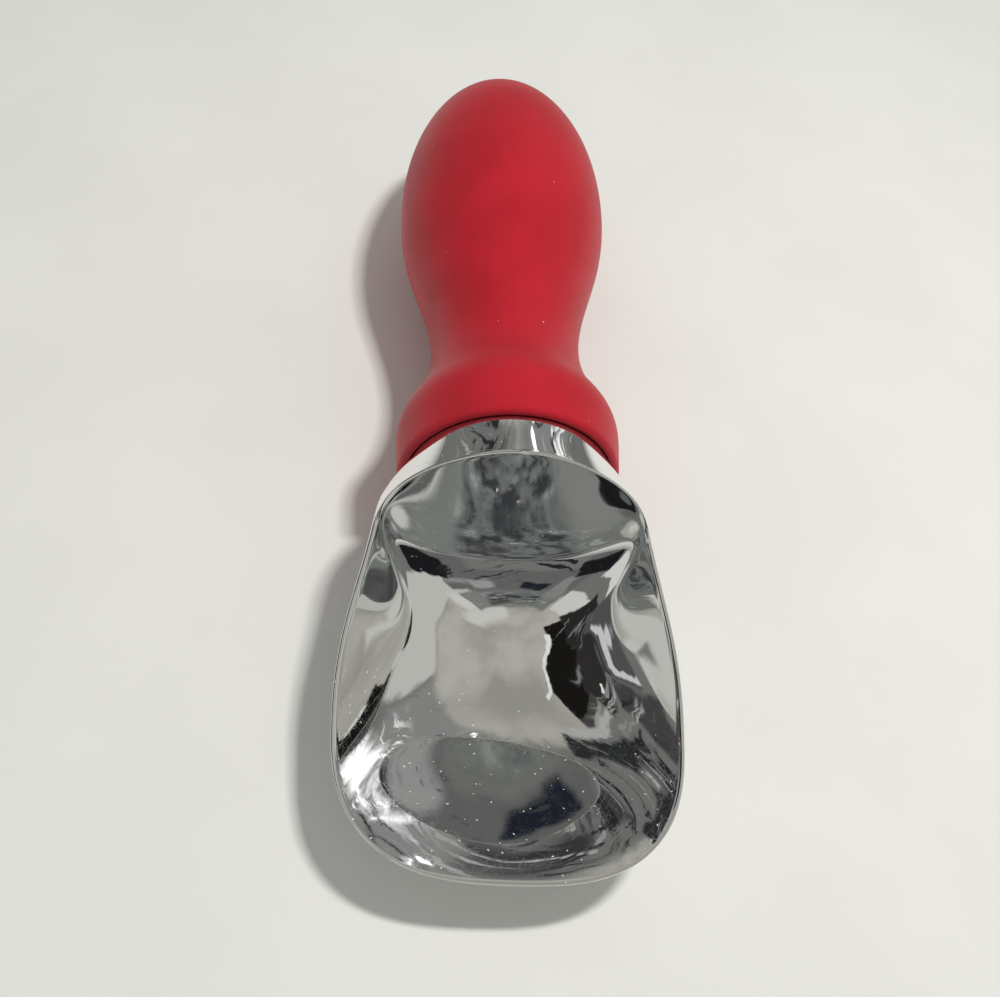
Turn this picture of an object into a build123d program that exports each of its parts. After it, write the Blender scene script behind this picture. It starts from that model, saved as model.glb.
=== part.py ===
from build123d import *
from math import atan2, copysign, cos, radians, sin
import os

os.makedirs("parts", exist_ok=True)

# overall layout, mm: X across, +Y toward the bulb end, +Z up, table at Z = 0
head_length = 74.7
handle_length = 113.2
front_y = -(head_length + handle_length) / 2
collar_y = front_y + head_length

# red sleeve, all lengths along the handle are taken from the front of the collar
bulb_diameter = 44.1
bulb_end_length = 41.0
shoulder_diameter = 38.8
shoulder_at = 53.2
waist_diameter = 29.8
waist_at = 29.2
flare_diameter = 35.8
flare_at = 17.2
collar_diameter = 42.4
collar_crest_at = 8.0
collar_front_drop = 0.4
collar_lip_round = 1.1
grip_wall = 2.6
bond_gap = 0.05

# the handle lies level: a shallow flat under the bulb and another under the bowl rest on the table
rest_flat_depth = 0.7
belly_flat_depth = 0.2
axis_z = bulb_diameter / 2 - rest_flat_depth

# neck joint
neck_inset = 2.0
neck_depth = 3.0
lip_gap = 0.25
gasket_thickness = 1.2
gasket_bore_gap = 0.3
gasket_edge_gap = 0.7
pocket_wall = 3.8
pocket_depth = 7.0
spigot_gap = 0.2
spigot_length = 5.5

# tang and its screw
tang_diameter = 13.0
tang_flats = 10.6
tang_root_depth = 1.5
tang_end_chamfer = 0.8
tang_end_at = 68.0
tang_gap = 0.15
tang_end_gap = 1.0
web_thickness = 4.0
screw_diameter = 5.0
screw_length = 22.0
screw_head_diameter = 9.4
screw_head_height = 3.5
screw_head_round = 1.0
screw_hole_gap = 0.3
thread_gap = 0.05
thread_hole_depth = 18.0
drive_width = 1.3
drive_length = 5.4
drive_depth = 1.8
washer_diameter = 13.0
washer_thickness = 1.2
spring_diameter = 9.2
spring_thickness = 1.3
spring_split = 0.8

# rear bore of the core and its plug
plug_share = 0.4626
plug_ledge = 0.9
plug_seat_at = 99.0
plug_gap = 0.1

# outside of the bowl
bowl_half_width = 30.0
bowl_front_reach = 28.0
front_bluntness = 2.65
bowl_section_fullness = 2.3
bulge_swell = 2.8
bulge_reach = 4.0
bulge_fullness = 2.3
bulge_top_fullness = 1.9
bulge_rise = 19.4
bulge_lift = 1.0
rear_half_width = 25.4
rear_reach = 16.0
rear_fullness = 2.5
rear_rise = 20.0
rear_lift = 0.5
side_half_width = 27.9
side_reach = 29.0
belly_reach = 36.0
belt_height = 20.0
tip_lift = 0.4

# rim in side view, heights above the table and reaches forward of the collar
rim_apex_reach = 6.1
rim_apex_height = 40.2
rim_rear_reach = 10.5
rim_rear_height = 31.4
rim_corner_reach = 17.0
rim_corner_height = 26.2
rim_side_height = 23.0
rim_mid_height = 18.2
rim_front_height = 15.5
rim_land = 1.1
rim_back_run = 3.0
rim_back_rise = 5.0
rim_front_run = 6.0
rim_front_drop = 0.8

# inside of the bowl, in planes parallel to the line from lip to apex: depth below that line,
# shift of the widest line toward the back, then from there the reach to the front, to the back,
# the half width, how blunt the front is and where along the back reach the sides start to close in
bowl_centre_reach = 30.0
bowl_levels = [
    (-7.0, -6.0, 31.0, 50.5, 33.0, 3.0, 0.55),
    (0.0, -3.0, 26.9, 45.0, 31.0, 3.0, 0.55),
    (5.0, 0.0, 24.3, 40.0, 30.0, 2.9, 0.50),
    (10.0, 3.2, 22.1, 34.4, 27.2, 2.6, 0.42),
    (15.0, 7.0, 20.1, 27.5, 23.1, 2.4, 0.66),
    (20.0, 10.0, 15.7, 20.4, 18.3, 2.1, 0.66),
    (24.0, 12.0, 8.7, 13.2, 11.5, 1.8, 0.61),
    (25.5, 14.0, 4.9, 7.6, 6.7, 1.9, 0.60),
]
bowl_floor_depth = 26.2
bowl_floor_shift = 16.0

# outline of the bowl at each level: shares of its half width in front of the widest line, where the
# reach follows from the bluntness, the share at which the sides close in, and shares of its half
# width and of its reach round the broad back
front_shares = [0.50, 0.75, 0.92, 1.0]
closing_share = 0.93
back_shares = [(0.83, 0.81), (0.62, 0.912), (0.32, 0.974)]

# stations of the head, as angles round the front of the bowl, and points in each section
front_angles = (0, 25, 45, 60, 72, 82)
section_points = 16
round_fullness = 2.0

widest_y = front_y + bowl_front_reach
belly_y = collar_y - belly_reach
neck_end_y = collar_y + neck_depth
collar_front_radius = collar_diameter / 2 - collar_front_drop
neck_radius = collar_diameter / 2 - neck_inset
pocket_radius = neck_radius - pocket_wall
plug_radius = plug_share * bulb_diameter / 2
core_front_at = neck_depth + gasket_thickness
bulb_at = handle_length - bulb_end_length
bore_end_at = tang_end_at + tang_end_gap
web_rear_at = bore_end_at + web_thickness
rim_back_y = collar_y - rim_apex_reach + rim_back_run
rim_front_y = front_y - rim_front_run
cut_margin = 60.0
side_view = Plane(origin=(0, collar_y, axis_z), x_dir=(0, 1, 0), z_dir=(1, 0, 0))
long_axis = Axis((0, collar_y, axis_z), (0, 1, 0))


def across(at):
    # plane square to the handle, at a distance behind the front of the collar
    return Plane(origin=(0, collar_y + at, axis_z), x_dir=(1, 0, 0), z_dir=(0, 1, 0))


def handle_outline(inset, start_at, start_radius):
    # half outline of the handle from its front to the bulb end, drawn inside by the inset
    front = Spline(
        (start_at, start_radius),
        (collar_crest_at, collar_diameter / 2 - inset),
        tangents=[(1, 0), (1, 0)],
    )
    Spline(
        front @ 1,
        (flare_at, flare_diameter / 2 - inset),
        (waist_at, waist_diameter / 2 - inset),
        (shoulder_at, shoulder_diameter / 2 - inset),
        (bulb_at, bulb_diameter / 2 - inset),
        tangents=[(1, 0), (1, 0)],
    )
    EllipticalCenterArc(
        (bulb_at, 0), bulb_end_length - inset, bulb_diameter / 2 - inset, start_angle=0, arc_size=90
    )
    Polyline((handle_length - inset, 0), (start_at, 0), (start_at, start_radius))


def tang_outline(gap):
    # round bar with two flats
    Circle(tang_diameter / 2 + gap)
    Rectangle(tang_flats + 2 * gap, tang_diameter + 2 * gap, mode=Mode.INTERSECT)


def head_section(y, half_width, mid_z, depth, rise, fullness, top_fullness):
    # closed cross section of the head, its lower part set by depth and its upper part by rise
    points = []
    for step in range(section_points):
        turn = radians(360 / section_points * step)
        c = cos(turn)
        s = sin(turn)
        power = 2 / (top_fullness if s > 0 else fullness)
        x = half_width * copysign(abs(c) ** power, c)
        height = rise if s > 0 else depth
        points.append((x, mid_z + height * copysign(abs(s) ** power, s)))
    plane = Plane(origin=(0, y, 0), x_dir=(1, 0, 0), z_dir=(0, -1, 0))
    with BuildSketch(plane) as section:
        with BuildLine():
            Spline(*points, periodic=True)
        make_face()
    return section.sketch


def belly_z(y):
    # underside in side view, forward of its lowest line
    share = (belly_y - y) / (belly_y - front_y)
    return -belly_flat_depth + (rim_front_height + belly_flat_depth) * share**2


def bowl_outline(plane, front, back, half_width, bluntness, closing):
    # blunt at the front, sides that close in a little toward a broad back
    right = [(x * half_width, -front * (1 - x**bluntness) ** (1 / bluntness)) for x in front_shares]
    right += [(x * half_width, y * back) for x, y in [(closing_share, closing)] + back_shares]
    left = [(-x, y) for x, y in reversed(right)]
    with BuildSketch(plane) as outline:
        with BuildLine():
            Spline((0, -front), *right, (0, back), *left, periodic=True)
        make_face()
    return outline.sketch


# head: bowl, shoulder, neck and tang in one casting
head_sections = [
    head_section(
        neck_end_y, neck_radius, axis_z, neck_radius, neck_radius, round_fullness, round_fullness
    ),
    head_section(
        collar_y, neck_radius, axis_z, neck_radius, neck_radius, round_fullness, round_fullness
    ),
    head_section(
        collar_y - bulge_reach,
        neck_radius + bulge_swell,
        axis_z,
        axis_z - bulge_lift,
        bulge_rise,
        bulge_fullness,
        bulge_top_fullness,
    ),
    head_section(
        collar_y - rear_reach,
        rear_half_width,
        axis_z,
        axis_z - rear_lift,
        rear_rise,
        rear_fullness,
        rear_fullness,
    ),
    head_section(
        collar_y - side_reach,
        side_half_width,
        axis_z,
        axis_z + belly_flat_depth,
        rear_rise,
        bowl_section_fullness,
        bowl_section_fullness,
    ),
]
for angle in front_angles:
    share = sin(radians(angle))
    station_y = widest_y - bowl_front_reach * share
    station_width = bowl_half_width * (1 - share**front_bluntness) ** (1 / front_bluntness)
    mid_z = belt_height + (rim_front_height - belt_height) * share + tip_lift
    depth = mid_z - belly_z(station_y)
    rise = tip_lift + (rear_rise - tip_lift) * (1 - share)
    head_sections.append(
        head_section(
            station_y, station_width, mid_z, depth, rise, bowl_section_fullness, bowl_section_fullness
        )
    )
lip_tip = Vertex(0, front_y, rim_front_height + tip_lift)

lip_y = front_y + rim_land
apex_y = collar_y - rim_apex_reach - rim_land
rim_pitch = atan2(rim_apex_height - rim_front_height, apex_y - lip_y)
along = Vector(0, cos(rim_pitch), sin(rim_pitch))
upward = Vector(0, -sin(rim_pitch), cos(rim_pitch))
bowl_centre = Vector(0, lip_y, rim_front_height) + along * bowl_centre_reach
bowl_sections = []
for depth, shift, front, back, half_width, bluntness, closing in bowl_levels:
    level_centre = bowl_centre - upward * depth + along * shift
    level = Plane(origin=level_centre, x_dir=(1, 0, 0), z_dir=upward)
    bowl_sections.append(bowl_outline(level, front, back, half_width, bluntness, closing))
floor_point = bowl_centre - upward * bowl_floor_depth + along * bowl_floor_shift

with BuildPart() as head:
    loft(head_sections + [lip_tip])
    with BuildSketch(Plane.YZ):
        with BuildLine():
            rim_line = Spline(
                (rim_back_y, rim_apex_height + rim_back_rise),
                (collar_y - rim_apex_reach, rim_apex_height),
                (collar_y - rim_rear_reach, rim_rear_height),
                (collar_y - rim_corner_reach, rim_corner_height),
                (collar_y - side_reach, rim_side_height),
                (widest_y, rim_mid_height),
                (front_y, rim_front_height),
                (rim_front_y, rim_front_height - rim_front_drop),
            )
            Polyline(
                rim_line @ 1,
                (rim_front_y, cut_margin),
                (rim_back_y, cut_margin),
                rim_line @ 0,
            )
        make_face()
    extrude(amount=cut_margin, both=True, mode=Mode.SUBTRACT)
    loft(bowl_sections + [Vertex(*floor_point)], mode=Mode.SUBTRACT)
    with BuildSketch(across(neck_depth)):
        Circle(pocket_radius)
    extrude(amount=-pocket_depth, mode=Mode.SUBTRACT)
    with BuildSketch(across(neck_depth - pocket_depth - tang_root_depth)):
        tang_outline(0)
    extrude(amount=tang_end_at - neck_depth + pocket_depth + tang_root_depth)
    chamfer(head.faces().sort_by(Axis.Y)[-1].edges(), tang_end_chamfer)
    with Locations(across(tang_end_at)):
        Hole(screw_diameter / 2 + thread_gap, thread_hole_depth)
    split(bisect_by=Plane.XY, keep=Keep.TOP)
head.part.label = "scoop_head"
export_step(head.part, "parts/scoop_head.step")

# red sleeve moulded over the core, with a shallow recess that takes the neck
with BuildPart() as grip:
    with BuildSketch(side_view):
        with BuildLine():
            handle_outline(0, 0, collar_front_radius)
        make_face()
    revolve(axis=long_axis)
    fillet(grip.edges().group_by(Axis.Y)[0], collar_lip_round)
    with BuildSketch(side_view):
        with BuildLine():
            handle_outline(grip_wall, core_front_at, collar_diameter / 2 - grip_wall)
        make_face()
    revolve(axis=long_axis, mode=Mode.SUBTRACT)
    with BuildSketch(across(0)):
        Circle(neck_radius + lip_gap)
    extrude(amount=core_front_at, mode=Mode.SUBTRACT)
    split(bisect_by=Plane.XY, keep=Keep.TOP)
grip.part.label = "grip_sleeve"
export_step(grip.part, "parts/grip_sleeve.step")

# stiff core: spigot into the head, flatted bore for the tang, web for the screw, bore to the rear
core_inset = grip_wall + bond_gap
with BuildPart() as core:
    with BuildSketch(side_view):
        with BuildLine():
            handle_outline(core_inset, core_front_at, collar_diameter / 2 - core_inset)
        make_face()
    revolve(axis=long_axis)
    with BuildSketch(across(core_front_at)):
        Circle(pocket_radius - spigot_gap)
    extrude(amount=-(gasket_thickness + spigot_length))
    with BuildSketch(across(core_front_at - gasket_thickness - spigot_length)):
        tang_outline(tang_gap)
    extrude(amount=bore_end_at - core_front_at + gasket_thickness + spigot_length, mode=Mode.SUBTRACT)
    with BuildSketch(across(bore_end_at)):
        Circle(screw_diameter / 2 + screw_hole_gap)
    extrude(amount=web_thickness, mode=Mode.SUBTRACT)
    with BuildSketch(across(web_rear_at)):
        Circle(plug_radius - plug_ledge)
    extrude(amount=plug_seat_at - web_rear_at, mode=Mode.SUBTRACT)
    with BuildSketch(across(plug_seat_at)):
        Circle(plug_radius)
    extrude(amount=handle_length - plug_seat_at, mode=Mode.SUBTRACT)
core.part.label = "handle_core"
export_step(core.part, "parts/handle_core.step")

# plug welded into the rear of the core, its outer end follows the bulb
with BuildPart() as plug:
    with BuildSketch(side_view):
        with BuildLine():
            handle_outline(core_inset, core_front_at, collar_diameter / 2 - core_inset)
        make_face()
    revolve(axis=long_axis)
    with BuildSketch(across(plug_seat_at)):
        Circle(plug_radius - plug_gap)
    extrude(amount=handle_length - plug_seat_at, mode=Mode.INTERSECT)
plug.part.label = "core_plug"
export_step(plug.part, "parts/core_plug.step")

# sealing ring between neck and core
with BuildPart() as gasket:
    with BuildSketch(across(neck_depth)):
        Circle(neck_radius - gasket_edge_gap)
        Circle(pocket_radius + gasket_bore_gap, mode=Mode.SUBTRACT)
    extrude(amount=gasket_thickness)
gasket.part.label = "neck_gasket"
export_step(gasket.part, "parts/neck_gasket.step")

# flat washer, split spring washer and pan head screw
with BuildPart() as washer:
    with BuildSketch(across(web_rear_at)):
        Circle(washer_diameter / 2)
        Circle(screw_diameter / 2 + screw_hole_gap, mode=Mode.SUBTRACT)
    extrude(amount=washer_thickness)
washer.part.label = "flat_washer"
export_step(washer.part, "parts/flat_washer.step")

spring_at = web_rear_at + washer_thickness
with BuildPart() as spring:
    with BuildSketch(across(spring_at)):
        Circle(spring_diameter / 2)
        Circle(screw_diameter / 2 + screw_hole_gap, mode=Mode.SUBTRACT)
        with Locations((0, spring_diameter / 2)):
            Rectangle(spring_split, spring_diameter, mode=Mode.SUBTRACT)
    extrude(amount=spring_thickness)
spring.part.label = "lock_washer"
export_step(spring.part, "parts/lock_washer.step")

screw_seat_at = spring_at + spring_thickness
with BuildPart() as screw:
    with BuildSketch(across(screw_seat_at)):
        Circle(screw_diameter / 2)
    extrude(amount=-screw_length)
    with BuildSketch(across(screw_seat_at)):
        Circle(screw_head_diameter / 2)
    extrude(amount=screw_head_height)
    fillet(screw.edges().group_by(Axis.Y)[-1], screw_head_round)
    with BuildSketch(across(screw_seat_at + screw_head_height)):
        Rectangle(drive_length, drive_width)
        Rectangle(drive_width, drive_length)
    extrude(amount=-drive_depth, mode=Mode.SUBTRACT)
screw.part.label = "tang_screw"
export_step(screw.part, "parts/tang_screw.step")
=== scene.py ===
from math import cos, inf, pi, radians, sin

import bmesh
import bpy
import numpy as np
from mathutils import Matrix, Vector


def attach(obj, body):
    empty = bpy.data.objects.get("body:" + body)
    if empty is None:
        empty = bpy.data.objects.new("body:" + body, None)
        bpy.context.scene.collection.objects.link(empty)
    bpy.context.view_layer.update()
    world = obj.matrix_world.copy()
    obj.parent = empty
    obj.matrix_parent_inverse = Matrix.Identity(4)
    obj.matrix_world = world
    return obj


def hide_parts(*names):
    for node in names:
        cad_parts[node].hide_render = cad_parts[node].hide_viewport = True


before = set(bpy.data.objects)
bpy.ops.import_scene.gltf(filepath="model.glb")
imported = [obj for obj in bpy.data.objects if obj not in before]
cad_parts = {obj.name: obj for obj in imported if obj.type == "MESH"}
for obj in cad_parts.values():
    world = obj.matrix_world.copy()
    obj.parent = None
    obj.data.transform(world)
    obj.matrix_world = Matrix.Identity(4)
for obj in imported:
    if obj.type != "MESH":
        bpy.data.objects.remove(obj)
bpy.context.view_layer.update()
scene = bpy.context.scene
mm = 0.001
halvings = 60  # steps of each search for a crossing
print("frame loaded:", ", ".join(sorted(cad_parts)))


def addObject(name, data):
    made = bpy.data.objects.new(name, data)
    scene.collection.objects.link(made)
    return made


# natural cubic spline through a few points, read at any places
def smoothLine(knots, values, at):
    x = np.asarray(knots, float)
    y = np.asarray(values, float)
    gap = np.diff(x)
    count = len(x)
    left = np.eye(count)
    right = np.zeros(count)
    for i in range(1, count - 1):
        left[i, i - 1:i + 2] = gap[i - 1], 2 * (gap[i - 1] + gap[i]), gap[i]
        right[i] = 6 * ((y[i + 1] - y[i]) / gap[i] - (y[i] - y[i - 1]) / gap[i - 1])
    bend = np.linalg.solve(left, right)
    at = np.asarray(at, float)
    i = np.clip(np.searchsorted(x, at) - 1, 0, count - 2)
    t = (at - x[i]) / gap[i]
    u = 1 - t
    curve = (u ** 3 - u) * bend[i] + (t ** 3 - t) * bend[i + 1]
    return u * y[i] + t * y[i + 1] + gap[i] ** 2 / 6 * curve


def unit(v):
    return v / np.linalg.norm(v, axis=-1, keepdims=True)


# length run so far at each point of a line
def runAlong(line):
    steps = np.linalg.norm(np.diff(line, axis=0), axis=1)
    return np.concatenate([[0], np.cumsum(steps)])


# where a test turns true between two places
def crossing(test, low, high):
    for _ in range(halvings):
        middle = (low + high) / 2
        if test(middle):
            high = middle
        else:
            low = middle
    return (low + high) / 2


# places in mm, turns in degrees
cameraSet = {
    "place": (-29.398, -159.686, 205.958),
    "pitch": 52.982,
    "yaw": 11.532,
    "roll": 13.154,
    "lens": 45.0,
    "film": 36.0,
    "nearest": 10.0,
}


def makeCamera():
    c = cameraSet
    pitch, yaw, roll = (radians(c[key]) for key in ("pitch", "yaw", "roll"))
    ahead = Vector((sin(yaw) * cos(pitch), cos(yaw) * cos(pitch), -sin(pitch)))
    level = Vector((cos(yaw), -sin(yaw), 0))
    drop = ahead.cross(level)
    across = level * cos(roll) - drop * sin(roll)
    down = level * sin(roll) + drop * cos(roll)
    data = bpy.data.cameras.new("camera")
    data.lens = c["lens"]
    data.sensor_width = c["film"]
    data.sensor_fit = "HORIZONTAL"
    data.clip_start = c["nearest"] * mm
    camera = addObject("camera", data)
    turn = Matrix((across, -down, -ahead)).transposed().to_4x4()
    turn.translation = Vector(c["place"]) * mm
    camera.matrix_world = turn
    scene.camera = camera


makeCamera()
print("camera set")

# scoop head: the forms of the casting drawn finer, with a rounded rim whose top lies a little further forward
# all in mm, y along the tool and z up, turns in degrees
headSet = {
    "front": -93.95,
    "widest": -65.95,
    "collar": -19.25,
    "neckEnd": -16.25,
    "axis": 21.35,
    "halfWidth": 29.95,
    "bluntness": 2.65,
    "bellyAt": -55.25,
    "bellyLow": -0.2,
    "lipHeight": 15.5,
    # outside, along the tool: half width, middle height, underside, rise above the middle, fullness
    "widthAt": (-83.65, -65.95, -48.25, -35.25, -23.25, -19.25, -16.25),
    "width": (27.9, 29.95, 27.9, 25.4, 22.0, 19.32, 19.32),
    "midAt": (-93.95, -80.0, -65.95, -48.25, -35.25, -23.25, -16.25),
    "mid": (15.9, 18.15, 20.4, 21.35, 21.35, 21.35, 21.35),
    "underAt": (-66.0, -60.6, -55.25, -48.25, -35.25, -23.25, -19.25, -16.25),
    "under": (1.01, 0.1, -0.2, -0.2, 0.5, 1.0, 2.15, 2.15),
    "riseAt": (-93.95, -80.0, -65.95, -48.25, -35.25, -23.25, -19.25, -16.25),
    "rise": (0.4, 10.2, 20.0, 20.0, 20.0, 19.4, 19.2, 19.2),
    "fullAt": (-93.95, -48.25, -35.25, -23.25, -19.25, -16.25),
    "full": (0.046, 0.046, 0.072, 0.046, 0.0, 0.0),
    "fullTop": (0.046, 0.04, 0.072, -0.02, 0.0, 0.0),
    # rim in side view, and its rounded edge
    "rimAt": (-99.95, -93.95, -65.95, -48.25, -36.25, -30.75, -27.75, -24.75),
    "rim": (14.7, 15.5, 18.2, 23.0, 26.2, 31.4, 40.2, 45.2),
    "apexFrom": -45.0,  # the top of the rim is looked for from here to the collar
    "rimRound": 0.4,
    "rimLand": 1.0,
    "rimPull": 0.55,
    # inside: a dished floor that rises to the rim, steep only at the back
    "floor": (-55.2, 4.6),  # y and z of its lowest point
    "acrossRise": 0.0125,
    "acrossGrow": 0.00029,
    "acrossBend": 9.1e-06,
    "alongRise": 0.0102,
    "wallPower": 5.0,
    "backPower": 6.0,
    "cornerPower": 9.0,
    "cornerTurn": 50.0,
    "backFrom": 30.0,
    "backTo": 80.0,
    # hidden behind the neck
    "pocketRadius": 15.4,
    "pocketEnd": -23.25,
    "tangRadius": 6.5,
    "tangFlat": 5.3,
    "tangEnd": 48.75,
    "tangChamfer": 0.8,
    "holeRadius": 2.55,
    "holeEnd": 30.75,
    # how fine the mesh is
    "rimRows": 200,
    "rimSteps": 8,
    "neckRows": 40,
    "columns": 56,
    "rings": 72,
    "rimSamples": 6000,
    "wallSamples": 3000,
    "slopeStep": 0.01,
    "turnStep": 0.01,  # radians
    "mergeGap": 0.002,
    "tinyEdge": 0.0001,
    "sharpTurn": 50.0,
}


# a point of the outside at y, turned up from the right-hand side by turn
def outside(y, turn):
    h = headSet
    upper = np.sin(turn) > 0
    share = np.clip((h["widest"] - y) / (h["widest"] - h["front"]), 0, 1)
    blunt = h["bluntness"]
    frontWidth = h["halfWidth"] * (1 - share ** blunt) ** (1 / blunt)
    width = np.where(y < h["widest"], frontWidth, smoothLine(h["widthAt"], h["width"], y))
    mid = smoothLine(h["midAt"], h["mid"], y)
    run = (h["bellyAt"] - y) / (h["bellyAt"] - h["front"])
    frontUnder = h["bellyLow"] + (h["lipHeight"] - h["bellyLow"]) * run ** 2
    under = np.where(y < h["bellyAt"], frontUnder, smoothLine(h["underAt"], h["under"], y))
    rise = smoothLine(h["riseAt"], h["rise"], y)
    fullTop = smoothLine(h["fullAt"], h["fullTop"], y)
    full = np.where(upper, fullTop, smoothLine(h["fullAt"], h["full"], y))
    puff = 1 + full * np.sin(2 * turn) ** 2
    height = np.where(upper, rise, mid - under)
    x = width * np.cos(turn) * puff
    z = mid + height * np.sin(turn) * puff
    return np.stack([x, y + 0 * turn, z], -1)


def rimHeight(y):
    return smoothLine(headSet["rimAt"], headSet["rim"], y) - headSet["rimRound"]


# turn of the section at which the outside meets the rim
def rimTurn(y):
    low = np.full_like(y, -pi / 2)
    high = np.full_like(y, pi / 2)
    goal = rimHeight(y)
    for _ in range(halvings):
        middle = (low + high) / 2
        above = outside(y, middle)[..., 2] > goal
        high = np.where(above, middle, high)
        low = np.where(above, low, middle)
    return (low + high) / 2


# how far the outside stands above the rim at one y
def aboveRim(y, turn):
    y = np.array(y)
    return outside(y, np.array(turn))[2] - rimHeight(y)


# floor of the bowl as a plain polynomial, s along the tool from its lowest point
def dish(x, s):
    h = headSet
    across = h["acrossRise"] + h["acrossGrow"] * s + h["acrossBend"] * s ** 2
    return across * x ** 2 + h["alongRise"] * s ** 2


# one wall of the bowl from the rim down to the middle of the floor, in even steps
def wallLine(edge, count):
    h = headSet
    floorY, floorZ = h["floor"]
    dx, dy = edge[0], edge[1] - floorY
    heading = abs(np.degrees(np.arctan2(dx, dy)))
    back = np.clip((h["backTo"] - heading) / (h["backTo"] - h["backFrom"]), 0, 1)
    back = back * back * (3 - 2 * back)
    rest = edge[2] - floorZ - dish(dx, dy)
    reach = np.sin(np.linspace(0, pi / 2, h["wallSamples"]))
    corner = min(heading / h["cornerTurn"], 1) ** 2
    power = h["backPower"] + (h["cornerPower"] - h["backPower"]) * corner
    steep = 1 - np.sqrt(1 - reach ** power)
    lift = back * steep + (1 - back) * reach ** h["wallPower"]
    z = floorZ + dish(reach * dx, reach * dy) + rest * lift
    line = np.stack([reach * dx, floorY + reach * dy, z], -1)
    run = runAlong(line)
    want = np.linspace(run[-1], 0, count + 1)
    return np.stack([np.interp(want, run, line[:, k]) for k in range(3)], -1)


# pocket, tang and its screw hole, as more rows of the outer grid
def hiddenRows(around):
    h = headSet
    ringX, ringZ = np.cos(around), np.sin(around)

    def ring(y, radius, flat=inf):
        x = np.minimum(radius * ringX, flat)
        return np.stack([x, np.full_like(x, y), h["axis"] + radius * ringZ], -1)

    chamfer = h["tangChamfer"]
    return np.array([
        ring(h["neckEnd"], h["pocketRadius"]),
        ring(h["pocketEnd"], h["pocketRadius"]),
        ring(h["pocketEnd"], h["tangRadius"], h["tangFlat"]),
        ring(h["tangEnd"] - chamfer, h["tangRadius"], h["tangFlat"]),
        ring(h["tangEnd"], h["tangRadius"] - chamfer, h["tangFlat"] - chamfer),
        ring(h["tangEnd"], h["holeRadius"]),
        ring(h["holeEnd"], h["holeRadius"]),
        ring(h["holeEnd"], 0.0),
    ])


# three grids of the right half: outside with the hidden rows, rounded rim, bowl
def headGrids():
    h = headSet
    top = pi / 2
    apex = crossing(lambda y: aboveRim(y, top) < 0, h["apexFrom"], h["collar"])
    tip = crossing(lambda y: aboveRim(y, -top) < 0, h["front"], h["widest"])

    # rows at even steps along the rim, then on to the end of the neck
    fine = tip + (apex - tip) * (1 - np.cos(np.linspace(0, pi, h["rimSamples"]))) / 2
    run = runAlong(outside(fine, rimTurn(fine)))
    rowY = np.interp(np.linspace(0, run[-1], h["rimRows"] + 1), run, fine)
    start = rimTurn(rowY)
    start[0], start[-1] = -top, top
    neckY = np.linspace(apex, h["neckEnd"], h["neckRows"] + 1)[1:]
    allY = np.concatenate([rowY, neckY])
    allStart = np.concatenate([start, np.full(len(neckY), top)])
    share = np.linspace(0, 1, h["columns"] + 1)
    turns = allStart[:, None] + (-top - allStart[:, None]) * share[None, :]
    shell = outside(allY[:, None] + 0 * turns, turns)
    shell[..., 2] = np.maximum(shell[..., 2], 0)
    shell = np.concatenate([shell, hiddenRows(turns[-1])])

    # inner edge of the rim, one land inside the outer edge on the rim's own surface
    step = h["slopeStep"]
    outer = shell[:h["rimRows"] + 1, 0]
    flow = np.gradient(outer, axis=0)
    flow[0], flow[-1] = (1, 0, 0), (-1, 0, 0)
    flow = unit(flow)
    lean = (rimHeight(rowY + step) - rimHeight(rowY - step)) / (2 * step)
    face = unit(np.stack([0 * lean, -lean, 1 + 0 * lean], -1))
    inner = outer + unit(np.cross(face, flow)) * h["rimLand"]
    inner[0, 0] = inner[-1, 0] = 0
    bowl = np.array([wallLine(point, h["rings"]) for point in inner])

    # rounded rim between the two edges, tangent to both walls
    outUp = outer - outside(rowY, start - h["turnStep"])
    outUp[0] = outer[0] - shell[1, -1]
    inUp = bowl[:, 0] - bowl[:, 1]
    outUp = unit(outUp - flow * np.sum(outUp * flow, -1, keepdims=True))
    inUp = unit(inUp - flow * np.sum(inUp * flow, -1, keepdims=True))
    pull = h["rimPull"] * h["rimLand"]
    t = np.linspace(0, 1, h["rimSteps"] + 1)[None, :, None]
    corners = (outer, outer + outUp * pull, inner + inUp * pull, inner)
    b0, b1, b2, b3 = (p[:, None, :] for p in corners)
    u = 1 - t
    band = b0 * u ** 3 + 3 * b1 * t * u ** 2 + 3 * b2 * t ** 2 * u + b3 * t ** 3
    return shell, band, bowl


def makeHead():
    h = headSet
    shell, band, bowl = headGrids()
    mesh = bmesh.new()

    def grid(points, flip):
        for side in (1, -1):
            place = np.array((side, 1, 1)) * mm
            verts = [[mesh.verts.new(Vector(p * place)) for p in row] for row in points]
            for a, b in zip(verts, verts[1:]):
                for i in range(len(a) - 1):
                    loop = (a[i], a[i + 1], b[i + 1], b[i])
                    mesh.faces.new(loop if (side > 0) == flip else loop[::-1])

    grid(shell, True)
    grid(band, False)
    grid(bowl, False)
    bmesh.ops.remove_doubles(mesh, verts=mesh.verts, dist=h["mergeGap"] * mm)
    bmesh.ops.dissolve_degenerate(mesh, edges=mesh.edges, dist=h["tinyEdge"] * mm)
    bmesh.ops.recalc_face_normals(mesh, faces=mesh.faces)
    data = bpy.data.meshes.new("scoopHead")
    mesh.to_mesh(data)
    mesh.free()
    data.shade_smooth()
    data.set_sharp_from_angle(angle=radians(h["sharpTurn"]))
    head = addObject("scoopHead", data)
    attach(head, "root")
    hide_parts("scoop_head")
    print("head:", len(data.vertices), "vertices")
    return head


head = makeHead()


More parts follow.
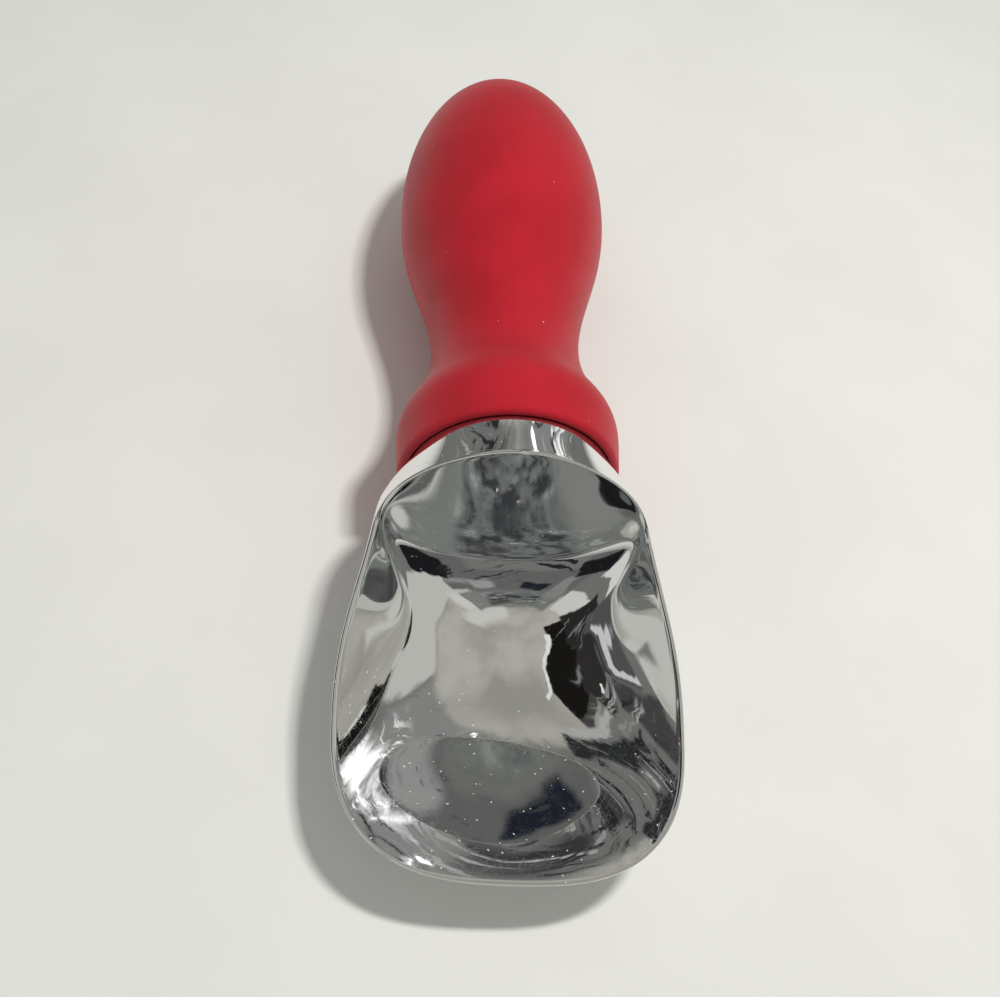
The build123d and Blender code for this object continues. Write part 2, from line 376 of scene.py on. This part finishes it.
# one socket of a node tree: arithmetic on it adds Math nodes, node() adds any other node
class Wire:
    def __init__(self, tree, socket=None):
        self.tree = tree
        self.socket = socket

    def node(self, kind, settings=None, inputs=None, output=0):
        made = self.tree.nodes.new("ShaderNode" + kind)
        for key, value in (settings or {}).items():
            setattr(made, key, value)
        for key, value in (inputs or {}).items():
            if isinstance(value, Wire):
                self.tree.links.new(value.socket, made.inputs[key])
            else:
                made.inputs[key].default_value = value
        return Wire(self.tree, made.outputs[output] if made.outputs else None)

    def math(self, operation, *values):
        return self.node("Math", {"operation": operation}, dict(enumerate(values)))

    def __add__(self, other):
        return self.math("ADD", self, other)

    def __radd__(self, other):
        return self.math("ADD", other, self)

    def __sub__(self, other):
        return self.math("SUBTRACT", self, other)

    def __rsub__(self, other):
        return self.math("SUBTRACT", other, self)

    def __mul__(self, other):
        return self.math("MULTIPLY", self, other)

    def __rmul__(self, other):
        return self.math("MULTIPLY", other, self)

    def __truediv__(self, other):
        return self.math("DIVIDE", self, other)

    def __rtruediv__(self, other):
        return self.math("DIVIDE", other, self)

    def __abs__(self):
        return self.math("ABSOLUTE", self)

    def either(self, other):
        return self.math("MAXIMUM", self, other)

    # 0 at low, 1 at high, eased between; low may be above high
    def ease(self, low, high):
        return self.node("MapRange", {"interpolation_type": "SMOOTHSTEP"},
                         {"Value": self, "From Min": low, "From Max": high})

    # lifts a mask so that its zero becomes the given share
    def atLeast(self, share):
        return share + (1 - share) * self

    def blend(self, first, second):
        return self.node("Mix", {"data_type": "RGBA"}, {0: self, 6: first, 7: second}, 2)

    def scaled(self, by):
        return self.node("VectorMath", {"operation": "SCALE"}, {0: self, "Scale": by})

    def stretched(self, by):
        return self.node("VectorMath", {"operation": "MULTIPLY"}, {0: self, 1: by})

    def turned(self, degrees):
        return self.node("VectorRotate", {"rotation_type": "Z_AXIS"},
                         {"Vector": self, "Angle": radians(degrees)})

    def along(self, axis):
        return self.node("VectorMath", {"operation": "DOT_PRODUCT"}, {0: self, 1: axis}, "Value")

    # cloudy noise, size in the units of the place it is read at
    def cloud(self, size, detail=2.0, rough=0.5):
        return self.node("TexNoise", {}, {"Vector": self, "Scale": 1 / size,
                                          "Detail": detail, "Roughness": rough})

    # small flecks: one in each cell of the given size, kept in a share of the cells
    def flecks(self, size, radius, share, core=0.6, edge=0.02):
        cell = {"Vector": self, "Scale": 1 / size}
        near = self.node("TexVoronoi", {}, cell).ease(radius / size, core * radius / size)
        lot = self.node("SeparateColor", {}, {"Color": self.node("TexVoronoi", {}, cell, "Color")})
        return near * lot.ease(1 - share, 1 - share + edge)


def newFinish(name):
    finish = bpy.data.materials.new(name)
    finish.use_nodes = True
    finish.node_tree.nodes.clear()
    start = Wire(finish.node_tree)
    place = start.node("TexCoord", output="Object").scaled(1 / mm)
    return finish, start, place


# height in mm becomes a bump in the shading
def bumped(start, height):
    return start.node("Bump", {}, {"Strength": 1.0, "Distance": mm, "Height": height})


def closeFinish(start, sockets):
    shader = start.node("BsdfPrincipled", {}, sockets)
    start.node("OutputMaterial", {}, {"Surface": shader})


# sizes in mm; a cut is where a noise begins to show and where it shows in full
plateSet = {
    "color": (0.92, 0.925, 0.92, 1),
    "gloss": 0.015,
    "haze": 0.03,
    "hazeSize": 9.0,
    "hazeCut": (0.45, 0.8),
    "wave": 0.03,
    "waveSize": 17.0,
    "ripple": 0.003,
    "rippleSize": 3.6,
    # scratches and nicks run three ways, most of them on the worn front half
    "lanes": (24, -38, 71),
    "wornFrom": -52.0,
    "wornTo": -72.0,
    "scratchSize": 2.2,
    "scratchStretch": 0.07,
    "scratchCut": (0.012, 0.002),
    "scratchRough": 0.12,
    "scratchBack": 0.25,
    # flecks gather in patches toward the front left
    "fleckSize": 1.3,
    "fleckRadius": 0.13,
    "fleckShare": 0.5,
    "fleckStretch": 0.45,
    "fleckColor": (0.9, 0.9, 0.88, 1),
    "fleckRough": 0.4,
    "fleckDull": 0.8,
    "fleckBack": 0.3,
    "fleckRight": 0.45,
    "fleckRare": 0.35,
    "fleckCut": (0.16, 0.3),
    "sideReach": 14.0,
    "patchSize": 13.0,
    "patchCut": (0.38, 0.6),
}


def makePlate():
    p = plateSet
    finish, start, place = newFinish("brightPlate")
    toFront = place.along((0, 1, 0)).ease(p["wornFrom"], p["wornTo"])
    toLeft = place.along((1, 0, 0)).ease(p["sideReach"], -p["sideReach"])
    patchy = place.cloud(p["patchSize"]).ease(*p["patchCut"])
    wave = place.cloud(p["waveSize"], detail=1.0) * p["wave"]
    ripple = place.cloud(p["rippleSize"], detail=1.0) * p["ripple"]
    haze = place.cloud(p["hazeSize"], detail=4.0, rough=0.6).ease(*p["hazeCut"])
    scratch = flecks = None
    for turn in p["lanes"]:
        lane = place.turned(turn)
        fine = lane.stretched((1, p["scratchStretch"], 1)).cloud(p["scratchSize"], detail=3.0, rough=0.6)
        line = abs(fine - 0.5).ease(*p["scratchCut"])
        scratch = line if scratch is None else scratch.either(line)
        short = lane.stretched((1, p["fleckStretch"], 1))
        nick = short.flecks(p["fleckSize"], p["fleckRadius"], p["fleckShare"])
        flecks = nick if flecks is None else flecks.either(nick)
    scratch = scratch * toFront.atLeast(p["scratchBack"])
    spread = toFront.atLeast(p["fleckBack"]) * toLeft.atLeast(p["fleckRight"])
    flecks = (flecks * (spread * patchy.atLeast(p["fleckRare"]))).ease(*p["fleckCut"])
    rough = p["gloss"] + haze * p["haze"] + scratch * p["scratchRough"] + flecks * p["fleckRough"]
    closeFinish(start, {
        "Base Color": flecks.blend(p["color"], p["fleckColor"]),
        "Metallic": 1 - flecks * p["fleckDull"],
        "Roughness": rough,
        "Normal": bumped(start, wave + ripple),
    })
    return finish


gripSet = {
    "color": (0.49, 0.0108, 0.0235, 1),
    "deep": (0.43, 0.0087, 0.0185, 1),
    "mottleSize": 16.0,
    "mottleCut": (0.35, 0.65),
    "rough": 0.52,
    "roughSpread": 0.1,
    "rubSize": 5.0,
    "shine": 0.35,
    "grainSize": 0.32,
    "grain": 0.006,
    "dustSize": 5.5,
    "dustRadius": 0.2,
    "dustShare": 0.4,
    "dust": (0.72, 0.55, 0.54, 1),
    "fineDust": 0.6,
    "fineShare": 0.5,
    "fineTurn": 33.0,
    "sheen": 0.08,
    "sheenRough": 0.45,
    "sheenTint": (1.0, 0.86, 0.86, 1),
}


def makeSoftGrip():
    g = gripSet
    finish, start, place = newFinish("softGrip")
    mottle = place.cloud(g["mottleSize"], detail=3.0).ease(*g["mottleCut"])
    grain = place.cloud(g["grainSize"])
    rub = place.cloud(g["rubSize"], detail=4.0, rough=0.65)
    small = g["fineDust"]
    fine = place.turned(g["fineTurn"]).flecks(
        small * g["dustSize"], small * g["dustRadius"], g["fineShare"] * g["dustShare"])
    dust = place.flecks(g["dustSize"], g["dustRadius"], g["dustShare"]).either(fine)
    closeFinish(start, {
        "Base Color": dust.blend(mottle.blend(g["color"], g["deep"]), g["dust"]),
        "Roughness": g["rough"] + (rub - 0.5) * g["roughSpread"],
        "Specular IOR Level": g["shine"],
        "Sheen Weight": g["sheen"],
        "Sheen Roughness": g["sheenRough"],
        "Sheen Tint": g["sheenTint"],
        "Normal": bumped(start, grain * g["grain"]),
    })
    return finish


plasticSet = {
    "color": (0.055, 0.057, 0.06, 1),
    "pale": (0.075, 0.077, 0.08, 1),
    "flowSize": 6.0,
    "flowStretch": 0.2,
    "flowCut": (0.4, 0.65),
    "rough": 0.45,
    "roughSpread": 0.12,
    "grainSize": 0.5,
    "grain": 0.008,
}


def makeCorePlastic():
    p = plasticSet
    finish, start, place = newFinish("corePlastic")
    flow = place.stretched((1, p["flowStretch"], 1)).cloud(p["flowSize"], detail=3.0)
    grain = place.cloud(p["grainSize"])
    closeFinish(start, {
        "Base Color": flow.ease(*p["flowCut"]).blend(p["color"], p["pale"]),
        "Roughness": p["rough"] + (grain - 0.5) * p["roughSpread"],
        "Normal": bumped(start, grain * p["grain"]),
    })
    return finish


rubberSet = {
    "color": (0.012, 0.012, 0.013, 1),
    "bloom": (0.04, 0.04, 0.04, 1),
    "bloomSize": 3.0,
    "bloomCut": (0.5, 0.75),
    "bloomRough": 0.15,
    "rough": 0.7,
    "grainSize": 0.25,
    "grain": 0.01,
}


def makeSealRubber():
    r = rubberSet
    finish, start, place = newFinish("sealRubber")
    bloom = place.cloud(r["bloomSize"], detail=4.0, rough=0.65).ease(*r["bloomCut"])
    grain = place.cloud(r["grainSize"])
    closeFinish(start, {
        "Base Color": bloom.blend(r["color"], r["bloom"]),
        "Roughness": r["rough"] + bloom * r["bloomRough"],
        "Normal": bumped(start, grain * r["grain"]),
    })
    return finish


steelSet = {
    "color": (0.62, 0.63, 0.65, 1),
    "dull": (0.48, 0.48, 0.47, 1),
    "dullSize": 2.4,
    "dullCut": (0.45, 0.7),
    "dullRough": 0.15,
    "rough": 0.24,
    "lineSize": 0.3,
    "lineStretch": 0.1,
    "lineRough": 0.1,
    "lines": 0.004,
}


def makeFastenerSteel():
    s = steelSet
    finish, start, place = newFinish("fastenerSteel")
    dull = place.cloud(s["dullSize"], detail=4.0, rough=0.6).ease(*s["dullCut"])
    lines = place.stretched((1, s["lineStretch"], 1)).cloud(s["lineSize"])
    closeFinish(start, {
        "Base Color": dull.blend(s["color"], s["dull"]),
        "Metallic": 1.0,
        "Roughness": s["rough"] + dull * s["dullRough"] + (lines - 0.5) * s["lineRough"],
        "Normal": bumped(start, lines * s["lines"]),
    })
    return finish


def dressPieces():
    plate = makePlate()
    core = makeCorePlastic()
    steel = makeFastenerSteel()
    finishes = {
        "scoop_head": plate,
        "grip_sleeve": makeSoftGrip(),
        "handle_core": core,
        "core_plug": core,
        "neck_gasket": makeSealRubber(),
        "tang_screw": steel,
        "flat_washer": steel,
        "lock_washer": steel,
    }
    for name, finish in finishes.items():
        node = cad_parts[name]
        node.data.materials.clear()
        node.data.materials.append(finish)
    head.data.materials.append(plate)
    print("finishes:", ", ".join(sorted({f.name for f in finishes.values()})))


dressPieces()

# reach in m, the rest in mm
floorSet = {
    "reach": 9.0,
    "color": (0.80, 0.80, 0.77, 1),
    "shade": (0.775, 0.775, 0.745, 1),
    "mottleSize": 45.0,
    "mottleCut": (0.35, 0.65),
    "rough": 0.8,
    "shine": 0.2,
    "toothSize": 0.6,
    "tooth": 0.01,
}


def makeFloor():
    f = floorSet
    reach = f["reach"]
    corners = [(-reach, -reach, 0), (reach, -reach, 0), (reach, reach, 0), (-reach, reach, 0)]
    data = bpy.data.meshes.new("floor")
    data.from_pydata(corners, [], [(0, 1, 2, 3)])
    finish, start, place = newFinish("paleBoard")
    mottle = place.cloud(f["mottleSize"], detail=3.0).ease(*f["mottleCut"])
    tooth = place.cloud(f["toothSize"])
    closeFinish(start, {
        "Base Color": mottle.blend(f["color"], f["shade"]),
        "Roughness": f["rough"],
        "Specular IOR Level": f["shine"],
        "Normal": bumped(start, tooth * f["tooth"]),
    })
    data.materials.append(finish)
    addObject("floor", data)


makeFloor()

# two small soft lamps, above and to the right
lampSet = {
    "places": ((165, -8, 640), (222, -4, 665)),
    "aim": (0, 0, 20),
    "watts": 1.48,
    "size": 50.0,
    "color": (1.0, 0.99, 0.965),
}


def makeLamps():
    s = lampSet
    for number, place in enumerate(s["places"], 1):
        data = bpy.data.lights.new("lamp%d" % number, "AREA")
        data.shape = "DISK"
        data.energy = s["watts"]
        data.size = s["size"] * mm
        data.color = s["color"]
        lamp = addObject(data.name, data)
        lamp.location = Vector(place) * mm
        lamp.visible_glossy = False  # the room's cards are what the plating mirrors
        lamp.rotation_euler = (Vector(s["aim"]) - Vector(place)).to_track_quat("-Z", "Y").to_euler()


makeLamps()

# what the plating mirrors: a plain room, directions in degrees, 0 toward the bulb end, 90 to the right;
# noise sizes are shares of a sphere's radius
roomSet = {
    "background": (0.84, 0.84, 0.82, 1),
    "fill": (0.395, 0.395, 0.387, 1),
    "ceiling": (0.48, 0.465, 0.42, 1),
    "ceilingDeep": (0.34, 0.33, 0.30, 1),
    "ceilingSize": 0.4,
    "ceilingCut": (0.35, 0.7),
    "wall": (0.17, 0.175, 0.165, 1),
    "wallTop": 44.0,
    "wallSoft": 3.0,
    "strength": 0.91,
    "wander": 11.0,
    "wanderSize": 0.22,
    "streakLean": 35.0,
    "streakLong": 30.0,
    "streakThin": 3.2,
    "streakDrift": 0.01,
    "blotchSize": 0.11,
    "blotchFlat": 4.0,
    # bearing, height, half width, half height, tilt, softness and colour of each card on the walls
    "cards": (
        # overhead
        (0, 62, 30, 9, 0, 6.0, (0.32, 0.31, 0.285, 1)),
        (140, 66, 32, 8, 0, 4.0, (0.60, 0.60, 0.56, 1)),
        # pale side on the right
        (108, 30, 43, 14, 0, 1.5, (0.53, 0.535, 0.495, 1)),
        (133, 50, 8, 9, 0, 4.0, (0.62, 0.62, 0.58, 1)),
        (38, 31, 25, 14, 0, 3.0, (0.25, 0.255, 0.245, 1)),
        (6, 32, 7, 5, 20, 3.0, (0.075, 0.077, 0.075, 1)),
        # dark shelf and pale gaps on the left
        (-122, 46, 13, 10, 0, 1.0, (0.62, 0.62, 0.59, 1)),
        (-72, 57, 34, 10.5, -3, 0.8, (0.010, 0.009, 0.008, 1)),
        (-72, 68.3, 20, 1.2, -2, 0.5, (0.8, 0.8, 0.78, 1)),
        (-40, 64.5, 13, 1.1, -17, 0.5, (0.8, 0.8, 0.78, 1)),
        (-96, 43, 16, 14, 0, 1.0, (0.025, 0.023, 0.022, 1)),
        (-87, 27, 6, 13, 8, 1.0, (0.085, 0.085, 0.085, 1)),
        (-72, 41, 11, 8, 10, 0.8, (0.03, 0.028, 0.027, 1)),
        (-71, 40, 2.4, 1.2, 0, 0.4, (0.85, 0.85, 0.83, 1)),
        (-83.5, 24, 1.2, 10, 8, 0.5, (0.6, 0.6, 0.6, 1)),
        (-72, 19, 7, 11, 8, 1.0, (0.06, 0.057, 0.056, 1)),
        (-50, 46.5, 13, 2, 5, 0.6, (0.06, 0.058, 0.055, 1)),
        (-42, 43, 18, 1.6, 13, 0.6, (0.42, 0.42, 0.41, 1)),
        (-34, 37.5, 19, 3.6, 18, 0.8, (0.025, 0.027, 0.029, 1)),
        (-12, 31.5, 4, 1.6, -20, 0.8, (0.05, 0.052, 0.055, 1)),
        (-112, 10, 18, 10, 0, 0.8, (0.68, 0.68, 0.66, 1)),
        # grey front
        (180, 18, 42, 19, 0, 1.5, (0.135, 0.135, 0.132, 1)),
        (182, 3, 22, 8, 0, 2.0, (0.18, 0.185, 0.175, 1)),
        (161, 29, 5.5, 5.5, 0, 2.0, (0.33, 0.335, 0.325, 1)),
        (147, 27, 8, 3, 10, 2.6, (0.27, 0.274, 0.266, 1)),
        (-152, 31, 7, 9, 0, 2.0, (0.24, 0.245, 0.235, 1)),
        (180, 50, 40, 10, 0, 2.0, (0.18, 0.19, 0.178, 1)),
        (150, 50, 8, 9, 0, 2.0, (0.21, 0.22, 0.207, 1)),
        (-152, 42, 7, 6, 0, 2.0, (0.23, 0.235, 0.225, 1)),
        (168, 54, 9, 2.5, -10, 2.0, (0.1, 0.103, 0.1, 1)),
        (-172, 31.5, 7, 4.4, 12, 1.4, (0.015, 0.018, 0.028, 1)),
        (134, 11, 14, 11, 20, 1.0, (0.012, 0.012, 0.014, 1)),
        (-144, 11, 11, 9, -20, 1.0, (0.012, 0.012, 0.014, 1)),
        # small bright lights
        (53, 14.5, 9, 2.6, -40, 1.8, (1.6, 1.6, 1.6, 1)),
        (44, 19, 8, 0.5, -34, 0.7, (0.8, 0.8, 0.8, 1)),
        (28, 28.5, 6, 1.0, 28, 1.2, (1.2, 1.2, 1.2, 1)),
        (32, 29.5, 7, 0.4, -26, 0.5, (0.02, 0.02, 0.02, 1)),
        (35, 23, 6, 0.7, -30, 0.5, (0.9, 0.9, 0.9, 1)),
        (24, 31, 4, 0.7, -20, 0.5, (0.6, 0.6, 0.6, 1)),
        (21, 42.6, 1.4, 0.9, 0, 0.4, (1.8, 1.8, 1.8, 1)),
        (16.5, 40.6, 1.4, 0.9, 0, 0.4, (1.8, 1.8, 1.8, 1)),
    ),
    # the same for streaked patches, with the part of the noise that shows
    "streaks": (
        (38, 21, 18, 8, 0, 5.0, (1.3, 1.3, 1.28, 1), (0.53, 0.62)),
        (38, 26, 24, 13, 0, 6.0, (0.03, 0.032, 0.035, 1), (0.40, 0.34)),
        (12, 34, 14, 9, 0, 4.0, (0.42, 0.42, 0.41, 1), (0.56, 0.60)),
        (12, 34, 14, 9, 0, 4.0, (0.04, 0.041, 0.044, 1), (0.44, 0.40)),
        (-40, 30, 36, 14, 0, 6.0, (0.40, 0.40, 0.39, 1), (0.57, 0.62)),
        (-40, 30, 36, 14, 0, 6.0, (0.02, 0.021, 0.023, 1), (0.42, 0.37)),
        (180, 8, 40, 15, 0, 4.0, (0.02, 0.021, 0.023, 1), (0.43, 0.38)),
        (-85, 50, 22, 16, 0, 4.0, (0.22, 0.22, 0.215, 1), (0.60, 0.64)),
    ),
    # and for blotched patches
    "blotches": (
        (180, 48, 20, 6, 0, 4.0, (0.045, 0.046, 0.052, 1), (0.55, 0.42)),
        (180, 50, 36, 9, 0, 4.0, (0.34, 0.345, 0.335, 1), (0.56, 0.68)),
        (172, 33, 18, 4, 0, 3.0, (0.05, 0.051, 0.054, 1), (0.40, 0.36)),
        (-20, 30, 30, 9, 0, 5.0, (0.03, 0.031, 0.034, 1), (0.40, 0.36)),
    ),
}


def cardMask(turn, rise, spot):
    bearing, height, wide, high, tilt, soft = spot
    aside = turn.math("WRAP", turn - bearing, 180, -180)
    above = rise - height
    lean = radians(tilt)
    along = aside * cos(lean) + above * sin(lean)
    over = above * cos(lean) - aside * sin(lean)
    return abs(along).ease(wide + soft, wide - soft) * abs(over).ease(high + soft, high - soft)


def makeRoom():
    r = roomSet
    world = bpy.data.worlds.new("room")
    scene.world = world
    world.use_nodes = True
    world.node_tree.nodes.clear()
    start = Wire(world.node_tree)
    way = start.node("TexCoord", output="Generated")
    degrees = 180 / pi

    # the edges of the cards wander a little, so none is a ruled line
    def wander(at):
        return (at.cloud(r["wanderSize"], detail=4.0, rough=0.55) - 0.5) * r["wander"]

    bearing = start.math("ARCTAN2", way.along((1, 0, 0)), way.along((0, 1, 0))) * degrees
    turn = bearing + wander(way)
    rise = start.math("ARCSINE", way.along((0, 0, 1))) * degrees + wander(way.turned(90))
    mottle = way.cloud(r["ceilingSize"], detail=3.0).ease(*r["ceilingCut"])
    ceiling = mottle.blend(r["ceiling"], r["ceilingDeep"])
    top, soft = r["wallTop"], r["wallSoft"]
    seen = rise.ease(top - soft, top + soft).blend(r["wall"], ceiling)
    for *spot, color in r["cards"]:
        seen = cardMask(turn, rise, spot).blend(seen, color)

    # thin streaks that fall away to both sides, and flat blotches
    lean = radians(r["streakLean"])
    lengthwise = (abs(turn) * cos(lean) - rise * sin(lean)) / r["streakLong"]
    sideways = (abs(turn) * sin(lean) + rise * cos(lean)) / r["streakThin"]
    lane = {"X": lengthwise, "Y": sideways, "Z": turn * r["streakDrift"]}
    streak = start.node("CombineXYZ", {}, lane).cloud(1.0, detail=3.0, rough=0.6)
    blotch = way.stretched((1, 1, r["blotchFlat"])).cloud(r["blotchSize"], detail=3.0, rough=0.6)
    for noise, patches in ((streak, r["streaks"]), (blotch, r["blotches"])):
        for *spot, color, cut in patches:
            seen = (cardMask(turn, rise, spot) * noise.ease(*cut)).blend(seen, color)

    # the camera sees the backdrop, the plating mirrors the room, the rest gets an even fill
    straight = start.node("LightPath", output="Is Camera Ray")
    mirrored = start.node("LightPath", output="Is Glossy Ray")
    through = start.node("LightPath", output="Is Transmission Ray")
    room = start.node("Background", {}, {"Color": seen, "Strength": r["strength"]})
    fill = start.node("Background", {}, {"Color": r["fill"]})
    behind = start.node("Background", {}, {"Color": r["background"]})
    light = start.node("MixShader", {}, {0: mirrored.either(through), 1: fill, 2: room})
    light = start.node("MixShader", {}, {0: straight, 1: light, 2: behind})
    start.node("OutputWorld", {}, {"Surface": light})


makeRoom()
scene.view_settings.view_transform = "Standard"
print("floor, lamps and room set")
